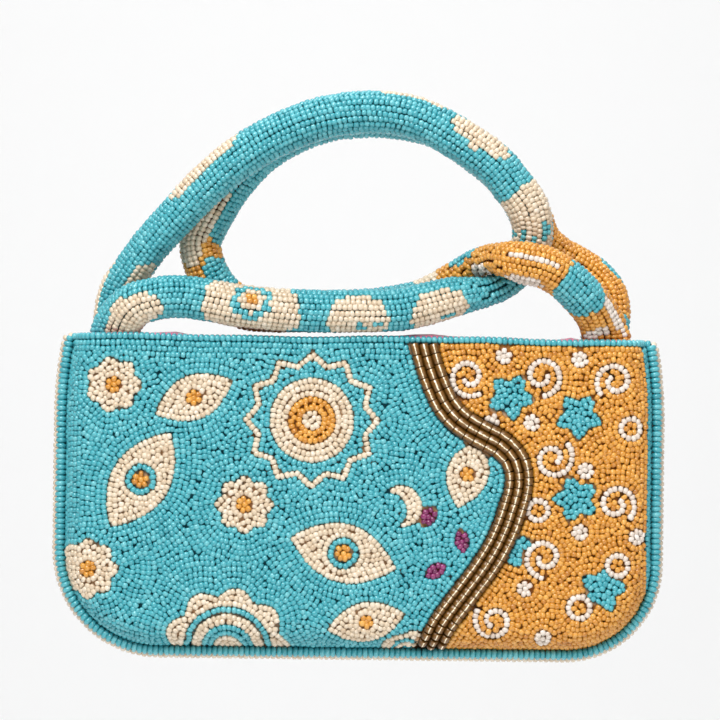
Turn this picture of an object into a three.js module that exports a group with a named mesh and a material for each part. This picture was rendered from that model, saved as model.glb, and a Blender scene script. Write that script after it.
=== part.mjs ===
// A beaded bag: a flat pouch of beaded cloth with an open mouth and two padded, beaded strap loops.
// Millimetres, +Z up, +X to the right as the bag is seen from the front, which faces -Y.
// The origin is where a hand holds the bag: the middle of the two straps at their top.

import * as THREE from 'three';
import { mergeVertices } from 'three/addons/utils/BufferGeometryUtils.js';

// Pouch
const FRONT_WIDTH = 258; // over the front edging, at the widest
const FRONT_HEIGHT = 137; // from the mouth to the bottom, over the edging
const LEFT_CORNER = 44; // radius of the lower left corner
const RIGHT_CORNER = 40; // radius of the lower right corner
const MOUTH_TAPER = 3.5; // how much each side draws in at the mouth
const TAPER_HEIGHT = 36; // height over which the sides draw in
const POUCH_DEPTH = 26; // over both panels, near their sides
const FULLNESS = 2.5; // how much further each panel swells at its middle
const EDGE_ROLL = 12; // width over which a panel rolls back to the seam
const BEADED_WALL = 3; // cloth with its beads
const LINING_WALL = 1;
const BACK_MARGIN = 2; // how far the back stands out past the front
const EDGING = 3.4; // diameter of the rolled bead edging
const GAP = 0.3; // between neighbouring pieces

// Gold band
const BAND_WIDTH = 12;
const BAND_HEIGHT = 1.6;
const BAND_SEAT = 0.4; // under the band, which bends over the panel's rolled bottom

// Straps
const STRAP_DIAMETER = 18;
const STRAP_RISE = 95; // height of the straps' middle above the mouth, at the hand
const FOOT_SET_IN = 24; // from the front's side to the middle of a foot
const FOOT_WIDTH = 21; // a strap's end is sewn flat
const FOOT_LENGTH = 10; // how far a foot reaches down into the mouth
const FOOT_PARTING = 0.8; // between a front foot and the back foot behind it

// Fineness of the faceted shapes
const PANEL_COLUMNS = 24;
const SIDE_ROWS = 5;
const CORNER_ROWS = 8;
const EDGING_SIDES = 6;
const STRAP_SIDES = 12;
const RINGS_PER_ROW = 2;
const BAND_RINGS_PER_ROW = 3;

const HALF_WIDTH = FRONT_WIDTH / 2;
const PANEL_TOP = -(EDGING + GAP);
const FRONT = -1;
const BACK = 1;

// The band's middle line: x as a share of half the front's width, down as a share of its height.
const BAND_LINE = [
  { x: 0.21, down: 0.035 },
  { x: 0.23, down: 0.1 },
  { x: 0.255, down: 0.16 },
  { x: 0.285, down: 0.215 },
  { x: 0.33, down: 0.26 },
  { x: 0.4, down: 0.3 },
  { x: 0.47, down: 0.335 },
  { x: 0.515, down: 0.385 },
  { x: 0.525, down: 0.45 },
  { x: 0.505, down: 0.53 },
  { x: 0.475, down: 0.61 },
  { x: 0.43, down: 0.69 },
  { x: 0.37, down: 0.77 },
  { x: 0.315, down: 0.84 },
  { x: 0.275, down: 0.895 },
  { x: 0.258, down: 0.93 },
];

// The straps' middle lines, from the front foot to the back foot. x is a share of half the front's
// width, y of the strap's diameter and z of its rise. wide and deep are the section's size across the
// bag's plane and from front to back, as shares of the diameter: less than 1 where the straps pinch.
const LEFT_STRAP_LINE = [
  { x: -0.752, y: -0.52, z: 0.118, wide: 1.04, deep: 0.96 },
  { x: -0.682, y: -0.56, z: 0.152, wide: 1, deep: 1 },
  { x: -0.603, y: -0.56, z: 0.165, wide: 1, deep: 1 },
  { x: -0.5, y: -0.56, z: 0.151, wide: 1, deep: 1 },
  { x: -0.404, y: -0.56, z: 0.128, wide: 1, deep: 1 },
  { x: -0.235, y: -0.56, z: 0.11, wide: 1, deep: 1 },
  { x: -0.017, y: -0.56, z: 0.11, wide: 1, deep: 1 },
  { x: 0.137, y: -0.56, z: 0.121, wide: 1, deep: 1 },
  { x: 0.228, y: -0.56, z: 0.15, wide: 1, deep: 1 },
  { x: 0.304, y: -0.55, z: 0.178, wide: 0.95, deep: 0.95 },
  { x: 0.361, y: -0.46, z: 0.192, wide: 0.82, deep: 0.85 },
  { x: 0.421, y: -0.28, z: 0.207, wide: 0.7, deep: 0.75 },
  { x: 0.479, y: -0.04, z: 0.25, wide: 0.76, deep: 0.76 },
  { x: 0.53, y: 0.02, z: 0.329, wide: 0.92, deep: 0.88 },
  { x: 0.56, y: -0.03, z: 0.411, wide: 0.95, deep: 0.95 },
  { x: 0.567, y: -0.18, z: 0.486, wide: 0.97, deep: 1 },
  { x: 0.546, y: -0.39, z: 0.587, wide: 1, deep: 1 },
  { x: 0.498, y: -0.48, z: 0.674, wide: 1, deep: 1 },
  { x: 0.438, y: -0.54, z: 0.769, wide: 1, deep: 1 },
  { x: 0.319, y: -0.54, z: 0.881, wide: 1, deep: 1 },
  { x: 0.169, y: -0.54, z: 0.978, wide: 1, deep: 1 },
  { x: 0.021, y: -0.54, z: 1, wide: 1, deep: 1 },
  { x: -0.127, y: -0.54, z: 0.972, wide: 1, deep: 1 },
  { x: -0.276, y: -0.54, z: 0.894, wide: 1, deep: 1 },
  { x: -0.404, y: -0.53, z: 0.79, wide: 1, deep: 1 },
  { x: -0.518, y: -0.42, z: 0.66, wide: 0.97, deep: 1 },
  { x: -0.61, y: -0.22, z: 0.53, wide: 0.94, deep: 1 },
  { x: -0.69, y: 0.02, z: 0.415, wide: 0.92, deep: 1 },
  { x: -0.77, y: 0.33, z: 0.275, wide: 0.92, deep: 1 },
  { x: -0.812, y: 0.5, z: 0.18, wide: 0.96, deep: 1 },
];
const RIGHT_STRAP_LINE = [
  { x: 0.783, y: -0.36, z: 0.1, wide: 1.04, deep: 0.9 },
  { x: 0.732, y: -0.67, z: 0.182, wide: 1, deep: 1 },
  { x: 0.657, y: -0.93, z: 0.271, wide: 1, deep: 1 },
  { x: 0.595, y: -1.06, z: 0.313, wide: 1, deep: 1 },
  { x: 0.532, y: -1.08, z: 0.33, wide: 1, deep: 0.92 },
  { x: 0.48, y: -0.96, z: 0.343, wide: 0.88, deep: 0.8 },
  { x: 0.44, y: -0.62, z: 0.352, wide: 0.72, deep: 0.72 },
  { x: 0.405, y: -0.2, z: 0.345, wide: 0.68, deep: 0.72 },
  { x: 0.365, y: 0.22, z: 0.315, wide: 0.76, deep: 0.8 },
  { x: 0.32, y: 0.45, z: 0.262, wide: 0.9, deep: 0.9 },
  { x: 0.222, y: 0.54, z: 0.177, wide: 1, deep: 1 },
  { x: 0.138, y: 0.54, z: 0.144, wide: 1, deep: 1 },
  { x: -0.017, y: 0.54, z: 0.118, wide: 1, deep: 1 },
  { x: -0.196, y: 0.54, z: 0.11, wide: 1, deep: 1 },
  { x: -0.307, y: 0.54, z: 0.108, wide: 1, deep: 1 },
  { x: -0.385, y: 0.54, z: 0.118, wide: 1, deep: 1 },
  { x: -0.449, y: 0.54, z: 0.165, wide: 1, deep: 1 },
  { x: -0.501, y: 0.54, z: 0.247, wide: 1, deep: 1 },
  { x: -0.532, y: 0.54, z: 0.343, wide: 1, deep: 1 },
  { x: -0.54, y: 0.54, z: 0.425, wide: 1, deep: 1 },
  { x: -0.512, y: 0.54, z: 0.51, wide: 1, deep: 1 },
  { x: -0.447, y: 0.54, z: 0.663, wide: 1, deep: 1 },
  { x: -0.349, y: 0.54, z: 0.816, wide: 1, deep: 1 },
  { x: -0.247, y: 0.54, z: 0.908, wide: 1, deep: 1 },
  { x: -0.129, y: 0.54, z: 0.974, wide: 1, deep: 1 },
  { x: 0.022, y: 0.54, z: 1, wide: 1, deep: 1 },
  { x: 0.157, y: 0.54, z: 0.985, wide: 1, deep: 1 },
  { x: 0.259, y: 0.54, z: 0.949, wide: 1, deep: 1 },
  { x: 0.361, y: 0.54, z: 0.864, wide: 1, deep: 1 },
  { x: 0.463, y: 0.55, z: 0.756, wide: 1, deep: 1 },
  { x: 0.535, y: 0.64, z: 0.64, wide: 1, deep: 1 },
  { x: 0.575, y: 0.82, z: 0.54, wide: 1, deep: 1 },
  { x: 0.608, y: 0.99, z: 0.445, wide: 1, deep: 1 },
  { x: 0.66, y: 1.04, z: 0.382, wide: 1, deep: 1 },
  { x: 0.725, y: 1, z: 0.333, wide: 1, deep: 1 },
  { x: 0.79, y: 0.84, z: 0.27, wide: 1, deep: 1 },
  { x: 0.83, y: 0.62, z: 0.18, wide: 1, deep: 0.95 },
];

// Faces of one closed body, collected as loose triangles and then welded.
class Faces {
  constructor() {
    this.corners = [];
  }

  triangle(a, b, c) {
    this.corners.push(...a.toArray(), ...b.toArray(), ...c.toArray());
  }

  quad(a, b, c, d) {
    this.triangle(a, b, c);
    this.triangle(a, c, d);
  }

  // Both lines run the same way and have as many points.
  strip(lineA, lineB, turned = false) {
    for (let k = 0; k + 1 < lineA.length; k++) {
      const ring = [lineA[k], lineA[k + 1], lineB[k + 1], lineB[k]];
      this.quad(...(turned ? ring.reverse() : ring));
    }
  }

  // A grid is a list of columns, left to right, each from top to bottom. Unturned, it faces the front.
  sheet(grid, turned = false) {
    for (let i = 0; i + 1 < grid.length; i++) {
      this.strip(grid[i], grid[i + 1], turned);
    }
  }

  body() {
    const geometry = new THREE.BufferGeometry();
    geometry.setAttribute('position', new THREE.Float32BufferAttribute(this.corners, 3));
    const welded = mergeVertices(geometry, 1e-4);
    welded.computeVertexNormals();
    return welded;
  }
}

// Half the front's width at a height, before any inset.
function halfWidthAt(z) {
  const lowered = Math.min(-z / TAPER_HEIGHT, 1);
  return HALF_WIDTH - MOUTH_TAPER * (1 - lowered) ** 2;
}

// How far the outline, drawn in by an inset, reaches to the left or right at a height.
function reachAt(z, side, inset) {
  const corner = side < 0 ? LEFT_CORNER : RIGHT_CORNER;
  const below = corner - FRONT_HEIGHT - z;
  const half = halfWidthAt(z);
  if (below <= 0) {
    return half - inset;
  }
  return half - corner + Math.sqrt(Math.max(0, (corner - inset) ** 2 - below ** 2));
}

// How far a point lies inside the same outline.
function edgeDistance(x, z, inset) {
  const corner = x < 0 ? LEFT_CORNER : RIGHT_CORNER;
  const half = halfWidthAt(z);
  const across = Math.abs(x) - (half - corner);
  const below = corner - FRONT_HEIGHT - z;
  if (across > 0 && below > 0) {
    return corner - Math.hypot(across, below) - inset;
  }
  return Math.min(half - Math.abs(x), z + FRONT_HEIGHT) - inset;
}

// How far a panel's face, or a surface a skin deeper, stands from the seam plane.
function faceDepth(x, z, inset, skin) {
  const inward = Math.max(0, edgeDistance(x, z, inset + skin));
  const rolled = Math.min(inward / (EDGE_ROLL - skin), 1);
  const fullX = 1 - (x / HALF_WIDTH) ** 2;
  const fullZ = 1 - ((2 * z) / FRONT_HEIGHT + 1) ** 2;
  const flatDepth = POUCH_DEPTH / 2 - skin;
  return flatDepth * Math.sqrt(1 - (1 - rolled) ** 2) + FULLNESS * Math.max(0, fullX * fullZ) * rolled;
}

// Heights of a grid's rows, closer together round the lower corners.
function rowHeights(inset) {
  const corner = Math.max(LEFT_CORNER, RIGHT_CORNER);
  const cornerTop = corner - FRONT_HEIGHT;
  const heights = [];
  for (let k = 0; k < SIDE_ROWS; k++) {
    heights.push(THREE.MathUtils.lerp(PANEL_TOP, cornerTop, k / SIDE_ROWS));
  }
  for (let k = 0; k <= CORNER_ROWS; k++) {
    heights.push(cornerTop - (corner - inset) * Math.sin((Math.PI / 2) * (k / CORNER_ROWS)));
  }
  return heights;
}

// One surface of the pouch as a grid. parting is its edge's distance from the seam plane.
function pouchGrid(side, inset, skin, parting) {
  const heights = rowHeights(inset + skin);
  const columns = [];
  for (let i = 0; i <= PANEL_COLUMNS; i++) {
    const share = Math.sin((Math.PI / 2) * ((2 * i) / PANEL_COLUMNS - 1));
    columns.push(
      heights.map((z) => {
        const x = share * reachAt(z, Math.sign(share), inset + skin);
        return new THREE.Vector3(x, side * (parting + faceDepth(x, z, inset, skin)), z);
      }),
    );
  }
  return columns;
}

const mouthLine = (grid) => grid.map((column) => column[0]);

// The grid's border from the top left corner, down, along the bottom, up and back along the mouth.
function borderLine(grid) {
  const last = grid.length - 1;
  const bottom = grid[0].length - 1;
  return [
    ...grid[0],
    ...grid.slice(1, last).map((column) => column[bottom]),
    ...grid[last].slice().reverse(),
    ...mouthLine(grid).slice(0, last).reverse(),
  ];
}

// A beaded wall: its outer and inner surfaces, joined round their borders.
function panelGeometry(side, inset) {
  const outer = pouchGrid(side, inset, 0, GAP / 2);
  const inner = pouchGrid(side, inset, BEADED_WALL, GAP / 2);
  const turned = side === BACK;
  const faces = new Faces();
  faces.sheet(outer, turned);
  faces.sheet(inner, !turned);
  faces.strip(borderLine(outer), borderLine(inner), !turned);
  return faces.body();
}

// The pocket inside both panels, open at the mouth.
function liningGeometry() {
  const outset = BEADED_WALL + GAP;
  const faces = new Faces();
  for (const side of [FRONT, BACK]) {
    const turned = side === BACK;
    const outer = pouchGrid(side, EDGING + GAP, outset, 0);
    const inner = pouchGrid(side, EDGING + GAP, outset + LINING_WALL, 0);
    faces.sheet(outer, turned);
    faces.sheet(inner, !turned);
    faces.strip(mouthLine(outer), mouthLine(inner), turned);
  }
  return faces.body();
}

// The rolled edging runs round a panel's sides and bottom, turns in at each end of the mouth and runs
// along its top. Each stop on its way is a place and the direction away from the panel there.
function edgingGeometry(side, inset) {
  const clear = EDGING / 2 + GAP;
  const panelInset = inset + EDGING + GAP;
  const seamY = side * (EDGING + GAP) / 2;
  const upright = new THREE.Vector3(0, 0, 1);
  const outside = borderLine(pouchGrid(side, panelInset - clear, 0, 0));
  const around = outside.slice(0, PANEL_COLUMNS + 2 * (SIDE_ROWS + CORNER_ROWS) + 1);
  const stops = around.map((point, k) => {
    const before = around[Math.max(k - 1, 0)];
    const after = around[Math.min(k + 1, around.length - 1)];
    const out = new THREE.Vector3(before.z - after.z, 0, after.x - before.x).normalize().negate();
    return { place: new THREE.Vector3(point.x, seamY, point.z), out };
  });
  const turnIn = (turn, degrees) => {
    const angle = THREE.MathUtils.degToRad(degrees);
    const out = new THREE.Vector3(turn * Math.cos(angle), 0, Math.sin(angle));
    const place = new THREE.Vector3(turn * (halfWidthAt(PANEL_TOP) - panelInset), seamY, PANEL_TOP);
    return { place: place.addScaledVector(out, clear), out };
  };
  const mouth = mouthLine(pouchGrid(side, panelInset, BEADED_WALL / 2, 0)).map((point) => {
    const y = side * Math.max(Math.abs(point.y), Math.abs(seamY));
    return { place: new THREE.Vector3(point.x, y, PANEL_TOP + clear), out: upright };
  });
  const corners = { right: [turnIn(1, 35), turnIn(1, 70)], left: [turnIn(-1, 70), turnIn(-1, 35)] };
  stops.push(...corners.right, ...mouth.reverse(), ...corners.left);
  const rings = stops.map(({ place, out }, k) => {
    const before = stops[(k + stops.length - 1) % stops.length].place;
    const after = stops[(k + 1) % stops.length].place;
    const along = after.clone().sub(before).normalize();
    const away = out.clone().addScaledVector(along, -along.dot(out)).normalize();
    const beside = new THREE.Vector3().crossVectors(along, away).negate();
    return ringAround(place, away, EDGING / 2, beside, EDGING / 2, EDGING_SIDES);
  });
  return loftGeometry([...rings, rings[0]], false);
}

// An oval ring round a place, reaching so far along each of two directions.
function ringAround(place, first, firstReach, second, secondReach, sides) {
  const ring = [];
  for (let k = 0; k < sides; k++) {
    const angle = (2 * Math.PI * k) / sides;
    ring.push(
      place
        .clone()
        .addScaledVector(first, firstReach * Math.cos(angle))
        .addScaledVector(second, secondReach * Math.sin(angle)),
    );
  }
  return ring;
}

// A closed body through rings of points. A loop, whose last ring is its first, has no ends to close.
function loftGeometry(rings, ended = true) {
  const faces = new Faces();
  const closed = rings.map((ring) => [...ring, ring[0]]);
  for (let k = 0; k + 1 < closed.length; k++) {
    faces.strip(closed[k], closed[k + 1], true);
  }
  const ends = ended ? [closed[0], closed[closed.length - 1].slice().reverse()] : [];
  for (const ring of ends) {
    const middle = new THREE.Vector3();
    ring.slice(1).forEach((point) => middle.addScaledVector(point, 1 / (ring.length - 1)));
    for (let k = 0; k + 1 < ring.length; k++) {
      faces.triangle(middle, ring[k], ring[k + 1]);
    }
  }
  return faces.body();
}

function frontFacePoint(x, z) {
  return new THREE.Vector3(x, -(GAP / 2 + faceDepth(x, z, EDGING + GAP, 0)), z);
}

function frontFaceNormal(x, z) {
  const step = 0.5;
  const rightward = frontFacePoint(x + step, z).sub(frontFacePoint(x - step, z));
  const upward = frontFacePoint(x, z + step).sub(frontFacePoint(x, z - step));
  return rightward.cross(upward).normalize();
}

function bandGeometry() {
  const line = new THREE.CatmullRomCurve3(
    BAND_LINE.map((row) => new THREE.Vector3(row.x * HALF_WIDTH, 0, -row.down * FRONT_HEIGHT)),
    false,
    'centripetal',
  );
  const section = [
    { across: -0.5, out: 0 },
    { across: -0.5, out: 0.6 },
    { across: -0.2, out: 1 },
    { across: 0.2, out: 1 },
    { across: 0.5, out: 0.6 },
    { across: 0.5, out: 0 },
    { across: 0.2, out: 0 },
    { across: -0.2, out: 0 },
  ];
  const steps = (BAND_LINE.length - 1) * BAND_RINGS_PER_ROW;
  const rings = [];
  for (let k = 0; k <= steps; k++) {
    const centre = line.getPoint(k / steps);
    const along = line.getTangent(k / steps);
    rings.push(
      section.map(({ across, out }) => {
        const x = centre.x - along.z * across * BAND_WIDTH;
        const z = centre.z + along.x * across * BAND_WIDTH;
        return frontFacePoint(x, z).addScaledVector(frontFaceNormal(x, z), BAND_SEAT + out * BAND_HEIGHT);
      }),
    );
  }
  return loftGeometry(rings);
}

// A padded strap. Its two feet are sewn flat inside the mouth, one against each side of the lining.
function strapGeometry(rows, side) {
  const insideDepth = POUCH_DEPTH / 2 - BEADED_WALL - GAP - LINING_WALL;
  const footDepth = insideDepth - GAP - FOOT_PARTING / 2;
  const foot = (face, z) => ({
    place: new THREE.Vector3(side * (HALF_WIDTH - FOOT_SET_IN), (face * (footDepth + FOOT_PARTING)) / 2, z),
    wide: FOOT_WIDTH,
    deep: footDepth,
  });
  const middle = rows.map((row) => ({
    place: new THREE.Vector3(row.x * HALF_WIDTH, row.y * STRAP_DIAMETER, row.z * STRAP_RISE),
    wide: row.wide * STRAP_DIAMETER,
    deep: row.deep * STRAP_DIAMETER,
  }));
  const stations = [foot(FRONT, -FOOT_LENGTH), foot(FRONT, 0), ...middle, foot(BACK, 0), foot(BACK, -FOOT_LENGTH)];
  const line = new THREE.CatmullRomCurve3(
    stations.map((station) => station.place),
    false,
    'centripetal',
  );
  const steps = (stations.length - 1) * RINGS_PER_ROW;
  const rings = [];
  for (let k = 0; k <= steps; k++) {
    const from = stations[Math.floor(k / RINGS_PER_ROW)];
    const to = stations[Math.min(Math.floor(k / RINGS_PER_ROW) + 1, stations.length - 1)];
    const share = (k % RINGS_PER_ROW) / RINGS_PER_ROW;
    const wide = THREE.MathUtils.lerp(from.wide, to.wide, share) / 2;
    const deep = THREE.MathUtils.lerp(from.deep, to.deep, share) / 2;
    const centre = line.getPoint(k / steps);
    const along = line.getTangent(k / steps);
    const backward = new THREE.Vector3(0, 1, 0).addScaledVector(along, -along.y).normalize();
    const sideways = new THREE.Vector3().crossVectors(along, backward);
    rings.push(ringAround(centre, sideways, wide, backward, deep, STRAP_SIDES));
  }
  return loftGeometry(rings);
}

function piece(name, geometry, color, roughness, metalness = 0) {
  const mesh = new THREE.Mesh(geometry, new THREE.MeshStandardMaterial({ color, roughness, metalness }));
  mesh.name = name;
  return mesh;
}

const pouch = new THREE.Group();
pouch.add(
  piece('front_panel', panelGeometry(FRONT, EDGING + GAP), 0x4fb8c4, 0.35),
  piece('back_panel', panelGeometry(BACK, EDGING + GAP - BACK_MARGIN), 0x4fb8c4, 0.35),
  piece('front_edging', edgingGeometry(FRONT, 0), 0x45aebb, 0.35),
  piece('back_edging', edgingGeometry(BACK, -BACK_MARGIN), 0xe4d3bd, 0.4),
  piece('gold_band', bandGeometry(), 0x8a6420, 0.3, 0.6),
  piece('lining', liningGeometry(), 0xe85a8f, 0.8),
);

const straps = new THREE.Group();
straps.add(
  piece('left_strap', strapGeometry(LEFT_STRAP_LINE, -1), 0x4fb8c4, 0.35),
  piece('right_strap', strapGeometry(RIGHT_STRAP_LINE, 1), 0xde9a38, 0.35),
);

const bag = new THREE.Group();
bag.add(pouch, straps);
bag.position.z = -STRAP_RISE;
bag.updateMatrixWorld(true);

export default bag;
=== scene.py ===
import itertools
import math
import random

import bpy
import numpy as np
from mathutils import Matrix, Vector


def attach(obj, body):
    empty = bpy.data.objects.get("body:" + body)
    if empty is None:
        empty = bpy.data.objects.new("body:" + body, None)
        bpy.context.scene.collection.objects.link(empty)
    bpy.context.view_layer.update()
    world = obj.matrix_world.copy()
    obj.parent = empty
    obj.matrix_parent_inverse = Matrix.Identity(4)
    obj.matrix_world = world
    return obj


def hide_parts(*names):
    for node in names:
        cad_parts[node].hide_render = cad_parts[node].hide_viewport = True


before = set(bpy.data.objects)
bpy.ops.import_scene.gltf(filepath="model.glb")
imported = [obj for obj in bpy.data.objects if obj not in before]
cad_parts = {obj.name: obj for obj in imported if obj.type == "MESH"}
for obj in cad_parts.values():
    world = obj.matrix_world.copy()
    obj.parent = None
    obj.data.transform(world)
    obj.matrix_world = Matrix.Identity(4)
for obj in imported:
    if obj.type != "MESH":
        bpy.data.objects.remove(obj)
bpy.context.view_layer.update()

MM = 0.001
FRONT = -1
BACK = 1

# Pouch, as its solids have it
HALF_WIDTH = 129 * MM
FRONT_HEIGHT = 137 * MM
LEFT_CORNER = 44 * MM
RIGHT_CORNER = 40 * MM
MOUTH_TAPER = 3.5 * MM
MOUTH_WAVE = 0.45 * MM
LONG_WAVE = 21 * MM
SHORT_WAVE = 8 * MM
WAVE_FADE = 14 * MM
TAPER_HEIGHT = 36 * MM
POUCH_DEPTH = 26 * MM
FULLNESS = 2.5 * MM
EDGE_ROLL = 12 * MM
BEADED_WALL = 3 * MM
LINING_WALL = 1 * MM
EDGING = 3.4 * MM
GAP = 0.3 * MM
PANEL_TOP = -(EDGING + GAP)
BORDERS = {FRONT: EDGING + GAP, BACK: EDGING + GAP - 2 * MM}
BAND_WIDTH = 12 * MM
BAND_TOP = PANEL_TOP + 0.5 * MM
BAND_BOTTOM = 5 * MM - FRONT_HEIGHT
STRAP_DIAMETER = 18 * MM
STRAP_RISE = 95 * MM
FOOT_SET_IN = 24 * MM
FOOT_WIDTH = 21 * MM
FOOT_LENGTH = 10 * MM
FOOT_PARTING = 0.8 * MM

# Cloth. The sheets are as they are cut flat, before the edges are turned in.
CLOTH_SINK = 2.0 * MM
CLOTH_THICKNESS = 0.6 * MM
SATIN_THICKNESS = 0.5 * MM
SATIN_RISE = 3 * MM
LIP_RISE = 2.4 * MM
LIP_SINK = 1.2 * MM

# Beads
BEAD_WIDTH = 2.5 * MM
BEAD_PITCH = 2.15 * MM
ROW_PITCH = 2.3 * MM
BEAD_SINK = 1.05 * MM
CHAIN_ROOM = 0.86 * BEAD_PITCH
SEED_ROOM = 0.95 * BEAD_PITCH
FILL_ROOM = 0.92
FILL_SIZES = (1.0, 0.9, 0.8)
BEAD_SHIFT = 0.07 * MM
BEAD_TILT = 0.12
RIM_BEAD_TILT = 0.05
ROW_PACE = (0.95, 1.06)
SHORTEST_PACE = 0.8 * BEAD_PITCH
ROW_DRIFT = 0.4 * BEAD_WIDTH
FILL_BORDER = 0.3 * BEAD_WIDTH
STRAP_BEAD_PITCH = 2.2 * MM
STRAP_ROWS = 21
STRAP_ROOM = 0.72 * STRAP_BEAD_PITCH
PINCHED_ROOM = 0.92 * STRAP_BEAD_PITCH
PINCHED_WIDTH = 16.5 * MM
WANDER = 0.12
WANDER_LENGTH = 31 * MM
WIGGLE = 0.02
WIGGLE_LENGTH = 9 * MM
STRAP_PACE = (0.96, 1.06)
RIM_BEAD_WIDTHS = {FRONT: 4.7 * MM, BACK: 3.6 * MM}
MOUTH_BEAD_WIDTH = 3.3 * MM
RIM_BEAD_PITCH = 2.3 * MM
BUGLE_WIDTH = 3.95 * MM
BUGLE_GAP = 0.15 * MM
LONG_BUGLES = (4.2, 5.8)
SHORT_BUGLES = (2.9, 3.7)
SEED = 7
# How much the beads differ. Columns: middle, spread, lowest, highest.
WIDTHS = (1.0, 0.06, 0.86, 1.12)
LENGTHS = (0.98, 0.07, 0.82, 1.1)
TONES = (0.5, 0.2, 0, 1)
RIM_WIDTHS = (1.0, 0.03, 0.92, 1.06)
RIM_LENGTHS = (0.97, 0.03, 0.85, 1.02)
RIM_TONES = (0.5, 0.18, 0, 1)
BUGLE_WIDTHS = (1.03, 0.02, 0.97, 1.06)

# Finishes of the beads
NONE, TURQUOISE, CREAM, OCHRE, PLUM, WHITE = range(-1, 5)
FINISH_NAMES = {TURQUOISE: "turquoise", CREAM: "cream", OCHRE: "ochre", PLUM: "plum", WHITE: "white"}

# The band's middle line. Columns: x as a share of half the front's width, and how far down as a share
# of its height.
BAND_LINE = [
    (0.21, 0.035),
    (0.23, 0.1),
    (0.255, 0.16),
    (0.285, 0.215),
    (0.33, 0.26),
    (0.4, 0.3),
    (0.47, 0.335),
    (0.515, 0.385),
    (0.525, 0.45),
    (0.505, 0.53),
    (0.475, 0.61),
    (0.43, 0.69),
    (0.37, 0.77),
    (0.315, 0.84),
    (0.275, 0.895),
    (0.258, 0.93),
]

# The straps' middle lines, as the solids have them. Columns: x as a share of half the front's width,
# y of the strap's diameter, z of its rise, and the section's width and depth as shares of the diameter.
LEFT_STRAP_LINE = [
    (-0.752, -0.52, 0.118, 1.04, 0.96),
    (-0.682, -0.56, 0.152, 1, 1),
    (-0.603, -0.56, 0.165, 1, 1),
    (-0.5, -0.56, 0.151, 1, 1),
    (-0.404, -0.56, 0.128, 1, 1),
    (-0.235, -0.56, 0.11, 1, 1),
    (-0.017, -0.56, 0.11, 1, 1),
    (0.137, -0.56, 0.121, 1, 1),
    (0.228, -0.56, 0.15, 1, 1),
    (0.304, -0.55, 0.178, 0.95, 0.95),
    (0.361, -0.46, 0.192, 0.82, 0.85),
    (0.421, -0.28, 0.207, 0.7, 0.75),
    (0.479, -0.04, 0.25, 0.76, 0.76),
    (0.53, 0.02, 0.329, 0.92, 0.88),
    (0.56, -0.03, 0.411, 0.95, 0.95),
    (0.567, -0.18, 0.486, 0.97, 1),
    (0.546, -0.39, 0.587, 1, 1),
    (0.498, -0.48, 0.674, 1, 1),
    (0.438, -0.54, 0.769, 1, 1),
    (0.319, -0.54, 0.881, 1, 1),
    (0.169, -0.54, 0.978, 1, 1),
    (0.021, -0.54, 1, 1, 1),
    (-0.127, -0.54, 0.972, 1, 1),
    (-0.276, -0.54, 0.894, 1, 1),
    (-0.404, -0.53, 0.79, 1, 1),
    (-0.518, -0.42, 0.66, 0.97, 1),
    (-0.61, -0.22, 0.53, 0.94, 1),
    (-0.69, 0.02, 0.415, 0.92, 1),
    (-0.77, 0.33, 0.275, 0.92, 1),
    (-0.812, 0.5, 0.18, 0.96, 1),
]
RIGHT_STRAP_LINE = [
    (0.783, -0.36, 0.1, 1.04, 0.9),
    (0.732, -0.67, 0.182, 1, 1),
    (0.657, -0.93, 0.271, 1, 1),
    (0.595, -1.06, 0.313, 1, 1),
    (0.532, -1.08, 0.33, 1, 0.92),
    (0.48, -0.96, 0.343, 0.88, 0.8),
    (0.44, -0.62, 0.352, 0.72, 0.72),
    (0.405, -0.2, 0.345, 0.68, 0.72),
    (0.365, 0.22, 0.315, 0.76, 0.8),
    (0.32, 0.45, 0.262, 0.9, 0.9),
    (0.222, 0.54, 0.177, 1, 1),
    (0.138, 0.54, 0.144, 1, 1),
    (-0.017, 0.54, 0.118, 1, 1),
    (-0.196, 0.54, 0.11, 1, 1),
    (-0.307, 0.54, 0.108, 1, 1),
    (-0.385, 0.54, 0.118, 1, 1),
    (-0.449, 0.54, 0.165, 1, 1),
    (-0.501, 0.54, 0.247, 1, 1),
    (-0.532, 0.54, 0.343, 1, 1),
    (-0.54, 0.54, 0.425, 1, 1),
    (-0.512, 0.54, 0.51, 1, 1),
    (-0.447, 0.54, 0.663, 1, 1),
    (-0.349, 0.54, 0.816, 1, 1),
    (-0.247, 0.54, 0.908, 1, 1),
    (-0.129, 0.54, 0.974, 1, 1),
    (0.022, 0.54, 1, 1, 1),
    (0.157, 0.54, 0.985, 1, 1),
    (0.259, 0.54, 0.949, 1, 1),
    (0.361, 0.54, 0.864, 1, 1),
    (0.463, 0.55, 0.756, 1, 1),
    (0.535, 0.64, 0.64, 1, 1),
    (0.575, 0.82, 0.54, 1, 1),
    (0.608, 0.99, 0.445, 1, 1),
    (0.66, 1.04, 0.382, 1, 1),
    (0.725, 1, 0.333, 1, 1),
    (0.79, 0.84, 0.27, 1, 1),
    (0.83, 0.62, 0.18, 1, 0.95),
]

# Curves

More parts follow.
